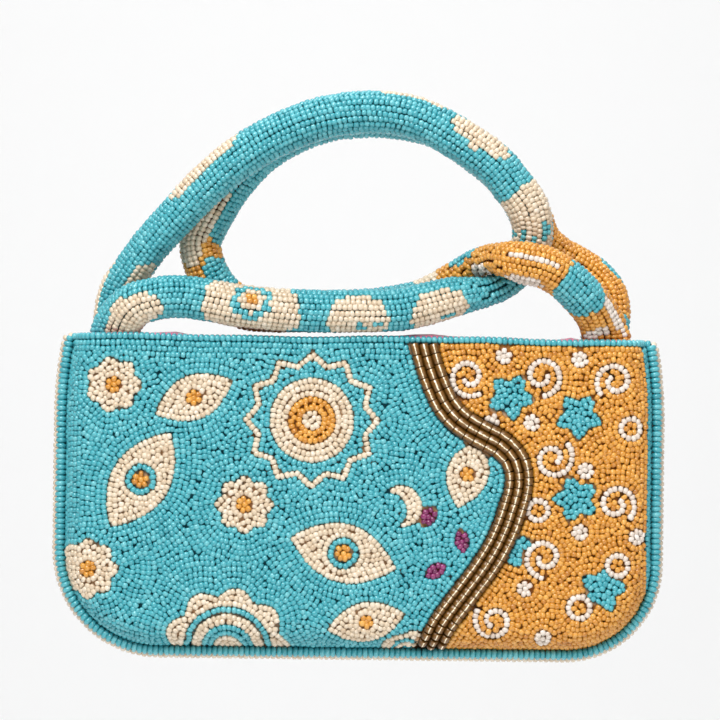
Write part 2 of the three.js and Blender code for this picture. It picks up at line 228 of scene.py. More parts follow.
def curve_through(points, per_step):
    """A smooth centripetal curve through points, with per_step samples from each point to the next."""
    points = np.asarray(points, float)
    padded = np.vstack([2 * points[0] - points[1], points, 2 * points[-1] - points[-2]])
    samples = []
    for k in range(len(points) - 1):
        before, start, end, after = padded[k : k + 4]
        gaps = [np.linalg.norm(b - a) ** 0.5 for a, b in ((before, start), (start, end), (end, after))]
        first, middle, last = [max(gap, 1e-6) for gap in gaps]
        leave = (start - before) / first - (end - before) / (first + middle) + (end - start) / middle
        arrive = (end - start) / middle - (after - start) / (middle + last) + (after - end) / last
        leave, arrive = leave * middle, arrive * middle
        bend = -3 * start + 3 * end - 2 * leave - arrive
        twist = 2 * start - 2 * end + leave + arrive
        for t in np.arange(per_step) / per_step:
            samples.append(start + leave * t + bend * t**2 + twist * t**3)
    samples.append(points[-1])
    return np.array(samples)

def unit(vectors):
    """Vectors, along the last axis, scaled to length 1."""
    return vectors / np.maximum(np.linalg.norm(vectors, axis=-1, keepdims=True), 1e-12)

def reach_along(line):
    """The distance from a line's start to each of its points."""
    return np.concatenate([[0], np.cumsum(np.linalg.norm(np.diff(line, axis=0), axis=1))])

def points_at(stops, reach, line):
    """The points of a line at some distances along it."""
    return np.stack([np.interp(stops, reach, values) for values in line.T], -1)

def spaced_along(line, pitch, rng, jitter):
    """Places along a line about a pitch apart, each with the line's direction there."""
    reach = reach_along(line)
    count = max(int(round(reach[-1] / pitch)), 1)
    stops = (np.arange(count) + 0.5) * reach[-1] / count
    stops += np.array([rng.uniform(-jitter, jitter) for _ in stops]) * pitch
    ahead = points_at(stops + pitch / 4, reach, line)
    behind = points_at(stops - pitch / 4, reach, line)
    return points_at(stops, reach, line), unit(ahead - behind)

# The pouch's surfaces

def half_width_at(z):
    lowered = np.clip(-z / TAPER_HEIGHT, 0, 1)
    return HALF_WIDTH - MOUTH_TAPER * (1 - lowered) ** 2

def corner_at(x):
    return np.where(x < 0, LEFT_CORNER, RIGHT_CORNER)

def reach_at(z, side, inset):
    """How far the outline, drawn in by an inset, reaches to the left or right at a height."""
    corner = corner_at(side)
    below = corner - FRONT_HEIGHT - z
    round_reach = np.sqrt(np.maximum(0, (corner - inset) ** 2 - below**2))
    half = half_width_at(z)
    return np.where(below <= 0, half - inset, half - corner + round_reach)

def from_outline(x, z):
    """How far places lie inside the front's outline, and where they lie about its round corners."""
    corner, half = corner_at(x), half_width_at(z)
    across = np.abs(x) - (half - corner)
    below = corner - FRONT_HEIGHT - z
    radius = np.hypot(across, below)
    in_corner = (across > 0) & (below > 0)
    inside = np.where(in_corner, corner - radius, np.minimum(half - np.abs(x), z + FRONT_HEIGHT))
    return inside, in_corner, radius, across, below

def mouth_wave(x, z):
    """How far the hand-sewn mouth rises and dips, fading out below it."""
    wave = np.sin(x / LONG_WAVE) + 0.5 * np.sin(x / SHORT_WAVE + 1)
    return MOUTH_WAVE * wave * np.exp(z / WAVE_FADE)

def border_shares(columns):
    """Even turns from -1 to 1, which lie closer together near both ends."""
    return np.sin(np.linspace(-1, 1, columns + 1) * math.pi / 2)

class Pouch:
    """One side of the pouch at some depth under its bead tops, with its rolled edge laid out flat.
    A flat place (p, q) is a place (x, z) on the front where the panel is flat, and lies further out
    where the panel rolls back to the seam."""

    def __init__(self, side, sink, border=None):
        self.side = side
        self.edge = (BORDERS[side] if border is None else border) + sink
        self.roll = EDGE_ROLL - sink
        self.depth = POUCH_DEPTH / 2 - sink
        angle = np.linspace(0, math.pi / 2, 200)
        pace = np.hypot(self.roll * np.sin(angle), self.depth * np.cos(angle))
        self.arc = np.concatenate([[0], np.cumsum((pace[1:] + pace[:-1]) / 2 * np.diff(angle))])
        self.arc_inward = self.roll * (1 - np.cos(angle))
        self.spread = self.arc[-1] - self.roll

    def from_seam(self, p, q):
        """The distance of flat places from the seam, along the surface."""
        return from_outline(p, q)[0] - self.edge + self.spread

    def place(self, p, q):
        """Places in the row frame of flat places."""
        inside, in_corner, radius, across, below = from_outline(p, q)
        along = inside - self.edge + self.spread
        corner, half = corner_at(p), half_width_at(q)
        sign = np.where(p < 0, -1.0, 1.0)
        rolled = along < self.arc[-1]
        inward = np.where(rolled, np.interp(along, self.arc, self.arc_inward), along - self.spread)
        inset = self.edge + inward
        ratio = (corner - inset) / np.maximum(radius, 1e-9)
        side_near = (half - np.abs(p)) < (q + FRONT_HEIGHT)
        straight_x = np.where(side_near, sign * (half - inset), p)
        straight_z = np.where(side_near, q, inset - FRONT_HEIGHT)
        x = np.where(in_corner, sign * (half - corner + across * ratio), straight_x)
        z = np.where(in_corner, corner - FRONT_HEIGHT - below * ratio, straight_z)
        return self.raised(np.where(rolled, x, p), np.where(rolled, z, q), inward)

    def raised(self, x, z, inward):
        share = np.clip(inward / self.roll, 0, 1)
        full = (1 - (x / HALF_WIDTH) ** 2) * (1 - (2 * z / FRONT_HEIGHT + 1) ** 2)
        depth = self.depth * np.sqrt(1 - (1 - share) ** 2) + FULLNESS * np.maximum(full, 0) * share
        return np.stack([x, self.side * (GAP / 2 + depth), z + mouth_wave(x, z) - STRAP_RISE], -1)

    def over(self, x, z):
        """The surface over places (x, z) of the front."""
        return self.raised(x, z, np.maximum(from_outline(x, z)[0] - self.edge, 0))

    def grid(self, columns, rows, top):
        """The surface as columns of places from the mouth down, closer together near its borders."""
        turns = np.linspace(0, 1, rows + 1)
        heights = top + (self.edge - FRONT_HEIGHT - top) * np.sin(turns * math.pi / 2)
        shares = border_shares(columns)
        return np.array([self.over(share * reach_at(heights, share, self.edge), heights) for share in shares])

    def hemmed_grid(self, columns, rows, top):
        """The same grid with a hem round its sides and bottom that reaches out under the edging."""
        grid = self.grid(columns, rows, top)
        outline = self.edge - CLOTH_SINK - EDGING / 2 - GAP
        heights = np.append(grid[0, :, 2] + STRAP_RISE, outline - FRONT_HEIGHT)
        hem_y = np.full(rows + 2, self.side * (EDGING + GAP) / 2)
        hemmed = np.zeros((columns + 3, rows + 2, 3))
        hemmed[1:-1, :-1] = grid
        for column, share in enumerate((-1, *border_shares(columns), 1)):
            hem = np.stack([share * reach_at(heights, share, outline), hem_y, heights - STRAP_RISE], 1)
            on_hem = slice(None) if column in (0, columns + 2) else slice(-1, None)
            hemmed[column, on_hem] = hem[on_hem]
        return hemmed

def laid_on(surface, side, flat, directions, step):
    """Flat places and directions laid on a surface: the places, directions and outward facings there."""
    x, z = flat.T
    ahead_x, ahead_z = directions.T * step
    along = surface(x + ahead_x, z + ahead_z) - surface(x - ahead_x, z - ahead_z)
    right = surface(x + step, z) - surface(x - step, z)
    up = surface(x, z + step) - surface(x, z - step)
    return surface(x, z), unit(along), unit(np.cross(right, up)) * -side

def band_curve():
    """The band's middle line, which runs on to the edging at both ends."""
    line = curve_through(np.array(BAND_LINE) * [HALF_WIDTH, -FRONT_HEIGHT], 8)
    ends = []
    for end, inner, z in ((line[0], line[3], 0.0), (line[-1], line[-4], -FRONT_HEIGHT)):
        ends.append(end + (end - inner) * (z - end[1]) / (end[1] - inner[1]))
    return np.vstack([ends[0], line, ends[1]])

BAND_CURVE = band_curve()

# The pattern, drawn on a fine grid of the unrolled panel

class Pattern:
    """Which beads go where on one side of the pouch: patches of one finish, and single rows of beads."""

    CELL = 0.35 * MM

    def __init__(self, pouch):
        reach = HALF_WIDTH + pouch.spread
        self.p = np.arange(-reach, reach, self.CELL)
        self.q = np.arange(-FRONT_HEIGHT - pouch.spread, PANEL_TOP + 3 * self.CELL, self.CELL)
        flat = np.meshgrid(self.p, self.q)
        seen = pouch.place(*flat)
        self.x = seen[..., 0]
        self.z = seen[..., 2] + STRAP_RISE
        self.patch = np.zeros(self.x.shape, int)
        self.outside = (pouch.from_seam(*flat) < 0) | (flat[1] > PANEL_TOP + 0.4 * MM)
        self.finishes = [TURQUOISE]
        self.rows = []

    def at(self, x, z, turn=0.0):
        """Every cell's place measured from a point, given in millimetres from the middle of the mouth,
        along and across a direction turned from +X."""
        angle = math.radians(turn)
        right, up = self.x - x * MM, self.z - z * MM
        return right * math.cos(angle) + up * math.sin(angle), up * math.cos(angle) - right * math.sin(angle)

    def fill(self, mask, finish):
        self.patch[mask] = len(self.finishes)
        self.finishes.append(finish)

    def row(self, line, finish, closed=False):
        """A single row of beads along a line of (x, z) points."""
        self.rows.append((np.vstack([line, line[:1]]) if closed else line, finish))

    def keep_clear(self, line, width):
        """Takes the beads of the patches from the cells nearer than half a width to a line."""
        low, high = line.min(0) - width, line.max(0) + width
        near = (self.x > low[0]) & (self.x < high[0]) & (self.z > low[1]) & (self.z < high[1])
        x, z = self.x[near], self.z[near]
        best = np.full(x.shape, 1.0)
        for start, end in zip(line[:-1], line[1:]):
            step = end - start
            share = ((x - start[0]) * step[0] + (z - start[1]) * step[1]) / max(step @ step, 1e-12)
            share = np.clip(share, 0, 1)
            best = np.minimum(best, np.hypot(x - start[0] - share * step[0], z - start[1] - share * step[1]))
        mask = np.zeros(self.x.shape, bool)
        mask[near] = best < width / 2
        self.fill(mask, NONE)

    def distances(self, longest):
        """Each cell's distance to the nearest border between patches."""
        patch = self.patch
        border = np.zeros(patch.shape, bool)
        rows_differ = patch[1:] != patch[:-1]
        columns_differ = patch[:, 1:] != patch[:, :-1]
        border[1:] |= rows_differ
        border[:-1] |= rows_differ
        border[:, 1:] |= columns_differ
        border[:, :-1] |= columns_differ
        far = int(longest / self.CELL)
        down = np.where(border, 0, far).astype(np.float32)
        for k in range(1, len(down)):
            down[k] = np.minimum(down[k], down[k - 1] + 1)
        for k in range(len(down) - 2, -1, -1):
            down[k] = np.minimum(down[k], down[k + 1] + 1)
        squared = down**2
        best = squared.copy()
        for shift in range(1, far):
            best[:, shift:] = np.minimum(best[:, shift:], squared[:, :-shift] + shift**2)
            best[:, :-shift] = np.minimum(best[:, :-shift], squared[:, shift:] + shift**2)
        distance = np.sqrt(best) + 0.5
        for _ in range(2):
            smooth = distance.copy()
            beside = distance[:-2, 1:-1], distance[2:, 1:-1], distance[1:-1, :-2], distance[1:-1, 2:]
            smooth[1:-1, 1:-1] = sum(beside, 2 * distance[1:-1, 1:-1]) / 6
            distance = smooth
        return distance * self.CELL

# Motifs. Their places and sizes are in millimetres from the middle of the mouth.

def disc(across, up, radius):
    return np.hypot(across, up) < radius

def scalloped(across, up, radius, scallops, depth):
    angle = np.arctan2(up, across)
    return np.hypot(across, up) < radius * (1 - depth + depth * np.abs(np.cos(scallops * angle / 2)))

def pointed(across, up, radius, points, inner):
    angle = np.arctan2(up, across) * points / (2 * math.pi)
    share = np.abs(2 * (angle - np.floor(angle)) - 1)
    return np.hypot(across, up) < radius * (inner + (1 - inner) * share)

def almond(across, up, length, width):
    return np.abs(up) < width / 2 * (1 - (2 * across / length) ** 2)

def around(x, z, radius, angle):
    """A line at one radius or several round a point, given in millimetres."""
    return np.stack([x * MM + radius * np.cos(angle), z * MM + radius * np.sin(angle)], 1)

def sun_medallion(pattern, x, z, radius, points):
    radius *= MM
    spot = pattern.at(x, z)
    turns = np.arange(2 * points)
    reach = np.where(turns % 2 == 0, radius, 0.83 * radius)
    pattern.row(around(x, z, reach, turns * math.pi / points), CREAM, closed=True)
    for share, finish in ((0.64, CREAM), (0.36, OCHRE), (0.15, CREAM)):
        pattern.fill(disc(*spot, share * radius), finish)

def half_sun(pattern, x, z, radius, scallops):
    radius *= MM
    spot = pattern.at(x, z)
    pattern.fill(scalloped(*spot, radius, scallops, 0.16), CREAM)
    pattern.fill(disc(*spot, 0.7 * radius), TURQUOISE)
    pattern.fill(disc(*spot, 0.58 * radius) & ~disc(*spot, 0.42 * radius), CREAM)
    pattern.fill(disc(*spot, 0.24 * radius), CREAM)

def rosette(pattern, x, z, radius, petals):
    spot = pattern.at(x, z)
    pattern.fill(scalloped(*spot, radius * MM, petals, 0.22), CREAM)
    pattern.fill(disc(*spot, ROSETTE_CORE), OCHRE)

def eye_almond(pattern, x, z, length, width, turn, ringed):
    width *= MM
    spot = pattern.at(x, z, turn)
    pattern.fill(almond(*spot, length * MM, width), CREAM)
    if ringed:
        pattern.fill(disc(*spot, 0.27 * width), TURQUOISE)
    pattern.fill(disc(*spot, (0.15 if ringed else 0.18) * width), OCHRE)

def crescent(pattern, x, z, radius, turn):
    radius *= MM
    across, up = pattern.at(x, z, turn)
    pattern.fill(disc(across, up, radius) & ~disc(across - 0.6 * radius, up, 0.85 * radius), CREAM)

def white_curl(pattern, x, z, outer, start, handed):
    """A curl that opens from its small inner radius to an outer one."""
    share = np.linspace(0, 1, 60)
    radius = CURL_INNER + (outer * MM - CURL_INNER) * share
    angle = math.radians(start) + handed * 2 * math.pi * CURL_TURNS * share
    pattern.row(around(x, z, radius, angle), WHITE)

def white_ring(pattern, x, z, radius):
    pattern.row(around(x, z, radius * MM, np.arange(40) * 2 * math.pi / 40), WHITE, closed=True)

# Motifs of the turquoise field. Columns: x, z, length, width, turn in degrees, ringed.
EYES = [
    (-70, -27, 36, 19, 24, False),
    (-92, -62, 48, 25, 58, True),
    (-6, -92, 47, 25, -16, True),
    (4, -121, 34, 17, 12, False),
    (46, -58, 30, 18, 74, False),
]
# Columns: x, z, radius, petals.
ROSETTES = [
    (-104, -22, 12, 7),
    (-48, -72, 12.5, 8),
    (-114, -100, 13, 8),
]
ROSETTE_CORE = 3.6 * MM
# Columns: x, z, turn.
PLUM_DROPS = [
    (30, -76, 60),
    (44, -86, 100),
    (33, -99, 30),
]
PLUM_DROP = (11 * MM, 6.5 * MM)

# Motifs of the ochre field. Columns: x, z, outer radius, start, handed.
WHITE_CURLS = [
    (46, -17, 8.6, 200, 1),
    (77, -16, 8.8, 20, -1),
    (108, -18, 8.2, 120, 1),
    (82, -51, 8.8, 300, 1),
    (109, -70, 8.4, 60, -1),
    (79, -93, 8.6, 160, 1),
    (58, -120, 8.4, 250, -1),
]
CURL_INNER = 2.2 * MM
CURL_TURNS = 1.3
# Columns: x, z, radius.
WHITE_RINGS = [
    (115, -38, 4.2),
    (110, -96, 4.4),
    (94, -114, 4.6),
    (76, -73, 4.2),
]
# Columns: x, z.
WHITE_ROSETTES = [
    (61, -8),
    (93, -9),
    (56, -36),
    (96, -56),
    (71, -106),
    (94, -82),
    (79, -127),
    (118, -84),
    (73, -36),
]
WHITE_ROSETTE = 3.7 * MM
# Columns: x, z, turn.
TURQUOISE_LEAVES = [
    (64, -25, 62),
    (93, -33, 128),
    (92, -68, 35),
    (64, -88, 80),
    (104, -106, 150),
]
# Outer radius, points, inner radius as a share.
LEAF = (10.5 * MM, 5, 0.58)
RIGHT_STRIP = 6.6 * MM

def front_pattern(pouch):
    """The front: turquoise left of the band and ochre right of it, each with its own motifs."""
    pattern = Pattern(pouch)
    order = np.argsort(BAND_CURVE[:, 1])
    band_x = np.interp(pattern.z, BAND_CURVE[order, 1], BAND_CURVE[order, 0])
    half_sun(pattern, -55, -134, 27, 9)
    half_sun(pattern, 22, -137, 13, 5)
    for row in ROSETTES:
        rosette(pattern, *row)
    for row in EYES:
        eye_almond(pattern, *row)
    crescent(pattern, 18, -72, 9, 200)
    sun_medallion(pattern, -20, -36, 28, 12)
    for row in PLUM_DROPS:
        pattern.fill(almond(*pattern.at(*row), *PLUM_DROP), PLUM)
    pattern.fill(pattern.x > band_x, OCHRE)
    pattern.fill((pattern.x > 0) & (pattern.x > half_width_at(pattern.z) - RIGHT_STRIP), TURQUOISE)
    for row in TURQUOISE_LEAVES:
        pattern.fill(pointed(*pattern.at(*row), *LEAF), TURQUOISE)
    for row in WHITE_ROSETTES:
        pattern.fill(disc(*pattern.at(*row), WHITE_ROSETTE), WHITE)
    for row in WHITE_CURLS:
        white_curl(pattern, *row)
    for row in WHITE_RINGS:
        white_ring(pattern, *row)
    for line, _ in pattern.rows:
        pattern.keep_clear(line, 0.98 * BEAD_WIDTH)
    pattern.keep_clear(BAND_CURVE, BAND_WIDTH)
    pattern.fill(pattern.outside, NONE)
    return pattern

def back_pattern(pouch):
    """The back, plain turquoise. A few wide waves only turn the rows, as on cloth beaded by hand."""
    pattern = Pattern(pouch)
    for level, swing, phase in ((-40, 10, 0.4), (-86, 12, 2.1)):
        wave = level * MM + swing * MM * np.sin(pattern.x / (34 * MM) + phase)
        pattern.fill(pattern.z < wave, TURQUOISE)
    pattern.fill(pattern.outside, NONE)
    return pattern

# Laying the beads

class BeadCloth:
    """Beads laid so far: their places, row directions, finishes and sizes, and which places are taken."""

    def __init__(self):
        self.taken = {}
        self.places = []
        self.directions = []
        self.finishes = []
        self.sizes = []

    def is_clear(self, place, room):
        key = cell_key(place)
        reach = room * room
        for shift in NEIGHBOURS[len(place)]:
            for other in self.taken.get(tuple(a + b for a, b in zip(key, shift)), ()):
                if sum((a - b) ** 2 for a, b in zip(place, other)) < reach:
                    return False
        return True

    def lay(self, place, direction, finish, size=1.0):
        self.taken.setdefault(cell_key(place), []).append(place)
        self.places.append(place)
        self.directions.append(direction)
        self.finishes.append(finish)
        self.sizes.append(size)

def cell_key(place):
    return tuple(int(value // BEAD_WIDTH) for value in place)

NEIGHBOURS = {count: list(itertools.product((-1, 0, 1), repeat=count)) for count in (2, 3)}

def lay_pattern(pattern, rng, longest):
    """Rows of beads that follow the outline of each patch from its border inwards, then single beads
    wherever one still fits."""
    cloth = BeadCloth()
    for line, finish in pattern.rows:
        for place, direction in zip(*spaced_along(line, BEAD_PITCH, rng, 0.03)):
            cloth.lay(tuple(place), tuple(direction), finish)
    distance = pattern.distances(longest)
    slope_q, slope_p = np.gradient(distance, pattern.CELL)
    steep = np.maximum(np.hypot(slope_p, slope_q), 1e-6)
    slope_p, slope_q = slope_p / steep, slope_q / steep
    patch = pattern.patch
    finishes = np.array(pattern.finishes)
    beaded = finishes[patch] != NONE
    origin_p, origin_q, cell = pattern.p[0], pattern.q[0], pattern.CELL
    rows, columns = patch.shape

    def cell_of(place):
        i = int(round((place[1] - origin_q) / cell))
        j = int(round((place[0] - origin_p) / cell))
        return (i, j) if 0 <= i < rows and 0 <= j < columns else None

    def walk(start, ahead, level, home):
        """Beads one after another from a start, along the line of one distance from the border."""
        place = start
        heading = ahead
        while True:
            pace = BEAD_PITCH * rng.uniform(*ROW_PACE)
            step = (place[0] + heading[0] * pace, place[1] + heading[1] * pace)
            for _ in range(2):
                found = cell_of(step)
                if found is None or patch[found] != home:
                    return
                off = distance[found] - level
                step = (step[0] - slope_p[found] * off, step[1] - slope_q[found] * off)
            found = cell_of(step)
            if found is None or patch[found] != home or abs(distance[found] - level) > ROW_DRIFT:
                return
            moved = math.hypot(step[0] - place[0], step[1] - place[1])
            if moved < SHORTEST_PACE or not cloth.is_clear(step, CHAIN_ROOM):
                return
            heading = ((step[0] - place[0]) / moved, (step[1] - place[1]) / moved)
            cloth.lay(step, heading, finishes[home])
            place = step

    deepest = distance[beaded].max()
    level = 0.5 * BEAD_WIDTH
    while level < deepest:
        near = np.argwhere(beaded & (np.abs(distance - level) < 0.6 * cell))
        for i, j in near[np.lexsort((near[:, 0], near[:, 1]))]:
            start = (pattern.p[j], pattern.q[i])
            if not cloth.is_clear(start, SEED_ROOM):
                continue
            along = (-slope_q[i, j], slope_p[i, j])
            cloth.lay(start, along, finishes[patch[i, j]])
            walk(start, along, level, patch[i, j])
            walk(start, (-along[0], -along[1]), level, patch[i, j])
        level += ROW_PITCH
    spots = np.argwhere(beaded[::2, ::2] & (distance[::2, ::2] > FILL_BORDER)) * 2
    for size in FILL_SIZES:
        for i, j in spots:
            place = (pattern.p[j], pattern.q[i])
            if cloth.is_clear(place, FILL_ROOM * size * BEAD_PITCH):
                cloth.lay(place, (-slope_q[i, j], slope_p[i, j]), finishes[patch[i, j]], size)
    return cloth

# Shapes of one bead

def pick_alone(obj=None):
    """Deselects everything but one object, or everything."""
    for other in bpy.context.selected_objects:
        other.select_set(False)
    if obj:
        bpy.context.view_layer.objects.active = obj
        obj.select_set(True)

def bead_shape(sides, profile, flat_back):
    """A bead of width 1 and length 1 along X, up to +Z: a round barrel or tube through rings of a
    place and a radius, whose underside is flat where it lies on cloth. Returns its corners and faces."""
    pick_alone()
    place, radius = profile[0]
    bpy.ops.mesh.primitive_circle_add(vertices=sides, radius=radius, fill_type="NGON", location=(0, 0, place))
    bead = bpy.context.object
    mesh = bead.data
    bpy.ops.object.mode_set(mode="EDIT")
    if flat_back:
        bpy.ops.mesh.select_all(action="DESELECT")
        bpy.ops.object.mode_set(mode="OBJECT")
        for vertex in mesh.vertices:
            vertex.select = vertex.co.y < -0.9 * radius
        bpy.ops.object.mode_set(mode="EDIT")
        bpy.ops.mesh.dissolve_verts()
    bpy.ops.mesh.select_all(action="SELECT")
    if flat_back:
        bpy.ops.transform.resize(value=(1 / math.cos(math.pi / sides), 1, 1))
    for (before, narrow), (after, wide) in zip(profile[:-1], profile[1:]):
        bpy.ops.mesh.extrude_region_move(TRANSFORM_OT_translate={"value": (0, 0, after - before)})
        bpy.ops.transform.resize(value=(wide / narrow, wide / narrow, 1), center_override=(0, 0, after))
    bpy.ops.mesh.select_all(action="SELECT")
    bpy.ops.mesh.normals_make_consistent(inside=False)
    bpy.ops.object.mode_set(mode="OBJECT")
    mesh.transform(Matrix.Translation(-bead.location) @ bead.matrix_world)
    mesh.transform(Matrix.Rotation(math.pi / 2, 4, "Y") @ Matrix.Rotation(math.pi / 2, 4, "Z"))
    corners = np.array([vertex.co[:] for vertex in mesh.vertices])
    corners[:, 0] -= (corners[:, 0].max() + corners[:, 0].min()) / 2
    faces = [list(face.vertices) for face in mesh.polygons]
    bpy.data.objects.remove(bead)
    return corners, faces

def mesh_object(name, points, faces, material):
    mesh = bpy.data.meshes.new(name)
    mesh.from_pydata(points, [], faces)
    mesh.shade_smooth()
    mesh.materials.append(material)
    obj = bpy.data.objects.new(name, mesh)
    bpy.context.collection.objects.link(obj)
    return obj

def add_attribute(obj, name, values):
    attribute = obj.data.attributes.new(name, "FLOAT", "POINT")
    attribute.data.foreach_set("value", values.reshape(-1).astype(np.float32))

def stands_for(piece, node):
    """Puts a piece on the bag's one body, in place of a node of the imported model."""
    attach(piece, "root")
    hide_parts(node)

def varied(count, rng, middle, spread, low, high):
    """Random values about a middle, none of them past a low and a high limit."""
    return np.clip(np.array([rng.gauss(middle, spread) for _ in range(count)]), low, high)

def random_vectors(count, rng, spread):
    return np.array([[rng.gauss(0, spread) for _ in range(3)] for _ in range(count)])

def joined_beads(name, shape, laid, widths, lengths, tones, material):
    """One mesh of many beads, each set along its row and facing outwards."""
    corners, faces = shape
    places, along, outward = laid
    beside = unit(np.cross(outward, along))
    outward = np.cross(along, beside)
    scaled = corners[None] * np.stack([lengths, widths, widths], -1)[:, None]
    points = (
        places[:, None]
        + scaled[..., :1] * along[:, None]
        + scaled[..., 1:2] * beside[:, None]
        + scaled[..., 2:] * outward[:, None]
    )
    count = len(corners)
    every = [[corner + k * count for corner in face] for k in range(len(places)) for face in faces]
    beads = mesh_object(name, points.reshape(-1, 3), every, material)
    add_attribute(beads, "bead_tone", np.repeat(tones, count))
    return beads

def bead_pieces(prefix, node, shape, laid, cloth, pitch, rng):
    """The beads of one part of the bag, as one piece for each finish."""
    places, along, outward = laid
    finishes = np.array(cloth.finishes)
    sizes = np.array(cloth.sizes)
    for finish in sorted(set(finishes)):
        chosen = finishes == finish
        count = int(chosen.sum())
        tilted = unit(along[chosen] + random_vectors(count, rng, BEAD_TILT))
        shifted = places[chosen] + random_vectors(count, rng, BEAD_SHIFT)
        widths = BEAD_WIDTH * sizes[chosen] * varied(count, rng, *WIDTHS)
        lengths = pitch * sizes[chosen] * varied(count, rng, *LENGTHS)
        tones = varied(count, rng, *TONES)
        name = f"{prefix}_{FINISH_NAMES[finish]}_beads"
        set_beads = shifted, tilted, outward[chosen]
        piece = joined_beads(name, shape, set_beads, widths, lengths, tones, BEAD_MATERIALS[finish])
        stands_for(piece, node)

# Materials

def linear(hex_colour):
    """An sRGB colour such as "4FB8C4" as linear red, green, blue and alpha."""
    shares = [int(hex_colour[k : k + 2], 16) / 255 for k in (0, 2, 4)]
    rgb = [share / 12.92 if share <= 0.04045 else ((share + 0.055) / 1.055) ** 2.4 for share in shares]
    return rgb + [1.0]

def add_node(tree, kind, settings, links):
    """Adds a node. Settings name its properties, its inputs or a ramp's stops, and links its inputs'
    sources."""
    node = tree.nodes.new(kind)
    for name, value in settings.items():
        if name == "stops":
            for _ in value[2:]:
                node.color_ramp.elements.new(0.5)
            for element, (place, colour) in zip(node.color_ramp.elements, value):
                element.position = place
                element.color = linear(colour)
        elif isinstance(name, int) or name in node.inputs:
            node.inputs[name].default_value = value
        else:
            setattr(node, name, value)
    for name, source in links.items():
        tree.links.new(source, node.inputs[name])
    return node

def new_material(name, settings):
    """A material and its shader, with the sockets that have one value all over set."""
    material = bpy.data.materials.new(name)
    material.use_nodes = True
    tree = material.node_tree
    shader = tree.nodes["Principled BSDF"]
    for socket, value in settings.items():
        shader.inputs[socket].default_value = value
    return material, tree, shader

def mottled_glass(name, attribute, grain, detail, swing, stops, settings):
    """Glass coloured by an attribute of its beads, and mottled by a fine grain of some swing."""
    material, tree, shader = new_material(name, settings)
    tone = add_node(tree, "ShaderNodeAttribute", {"attribute_name": attribute}, {})
    place = add_node(tree, "ShaderNodeTexCoord", {}, {})
    fine = {"Scale": 1 / grain, "Detail": detail}
    noise = add_node(tree, "ShaderNodeTexNoise", fine, {"Vector": place.outputs["Object"]})
    faint = {"operation": "MULTIPLY_ADD", 1: swing[0], 2: swing[1]}
    mottle = add_node(tree, "ShaderNodeMath", faint, {0: noise.outputs["Fac"]})
    both = {0: tone.outputs["Fac"], 1: mottle.outputs[0]}
    share = add_node(tree, "ShaderNodeMath", {"operation": "ADD"}, both)
    ramp = add_node(tree, "ShaderNodeValToRGB", {"stops": stops}, {"Fac": share.outputs[0]})
    tree.links.new(ramp.outputs["Color"], shader.inputs["Base Color"])
    return material

def opaque_bead_glass(name, deep, body, light, roughness):
    """Opaque pressed seed-bead glass: a hard gloss over one body colour that differs a little from
    bead to bead, with faint drawn streaks."""
    settings = {"Roughness": roughness, "IOR": 1.52, "Coat Weight": 0.55, "Coat Roughness": 0.06}
    stops = [(0.0, deep), (0.5, body), (1.0, light)]
    return mottled_glass(name, "bead_tone", 1.6 * MM, 1.0, (0.35, -0.17), stops, settings)

def bronze_glass_with_painted_streak():
    """Silver-lined bronze glass with a painted highlight: a bright streak is painted along the top of each
    tube, and its sides go dark brown, partly the thick brown glass and partly painted shade."""
    settings = {"Roughness": 0.34, "Coat Weight": 0.25, "Coat Roughness": 0.06}
    # Stops run from the dark sides, partly painted shade, up to a painted highlight along each tube's top.
    stops = [(0.0, "4A2E0A"), (0.6, "5C3B0C"), (0.88, "744C14"), (0.95, "8E672C"), (0.985, "FFF4D8")]
    return mottled_glass("bronze_glass_painted_streak", "around", 0.9 * MM, 2.0, (0.16, -0.08), stops, settings)

def woven_cloth(name, settings, kind, threads, stops, relief, attribute=None):
    """Woven cloth whose threads stand up in a fine relief. Its colours follow its weave, or an
    attribute where one is named."""
    material, tree, shader = new_material(name, settings)
    place = add_node(tree, "ShaderNodeTexCoord", {}, {})
    weave = source = add_node(tree, kind, threads, {"Vector": place.outputs["Object"]})
    if attribute:
        source = add_node(tree, "ShaderNodeAttribute", {"attribute_name": attribute}, {})
    ramp = add_node(tree, "ShaderNodeValToRGB", {"stops": stops}, {"Fac": source.outputs["Fac"]})
    tree.links.new(ramp.outputs["Color"], shader.inputs["Base Color"])
    bump = add_node(tree, "ShaderNodeBump", relief, {"Height": weave.outputs["Fac"]})
    tree.links.new(bump.outputs["Normal"], shader.inputs["Normal"])
    return material

def woven_ground(name, stops):
    """Plain-woven cotton ground under the beads, matt, in the colours of the beads' own threads."""
    threads = {"Scale": 1 / (0.6 * MM), "Detail": 2.0}
    relief = {"Strength": 0.5, "Distance": 0.2 * MM}
    return woven_cloth(name, {"Roughness": 0.9}, "ShaderNodeTexNoise", threads, stops, relief, "ground")

def pink_satin():
    """Pink satin: a fine weave with a soft sheen that runs along its folds."""
    settings = {"Roughness": 0.45, "Sheen Weight": 0.4}
    threads = {"Scale": 1 / (1.2 * MM), "Distortion": 1.5, "bands_direction": "DIAGONAL"}
    stops = [(0.0, "DE4C84"), (1.0, "EE6A9C")]
    relief = {"Strength": 0.3, "Distance": 0.1 * MM}
    return woven_cloth("pink_satin_weave", settings, "ShaderNodeTexWave", threads, stops, relief)

BEAD_MATERIALS = {
    TURQUOISE: opaque_bead_glass("turquoise_opaque_glass", "3698A4", "48ABB6", "6CC0C8", 0.26),
    CREAM: opaque_bead_glass("cream_opaque_glass", "CDB597", "DECBB0", "ECDDC8", 0.3),
    OCHRE: opaque_bead_glass("ochre_opaque_glass", "BC7822", "D89636", "E8AC50", 0.28),
    PLUM: opaque_bead_glass("plum_opaque_glass", "5E1C44", "84295F", "9C3E78", 0.24),
    WHITE: opaque_bead_glass("white_pearl_glass", "D0BFB0", "E2D4C6", "F1E8DF", 0.3),
}
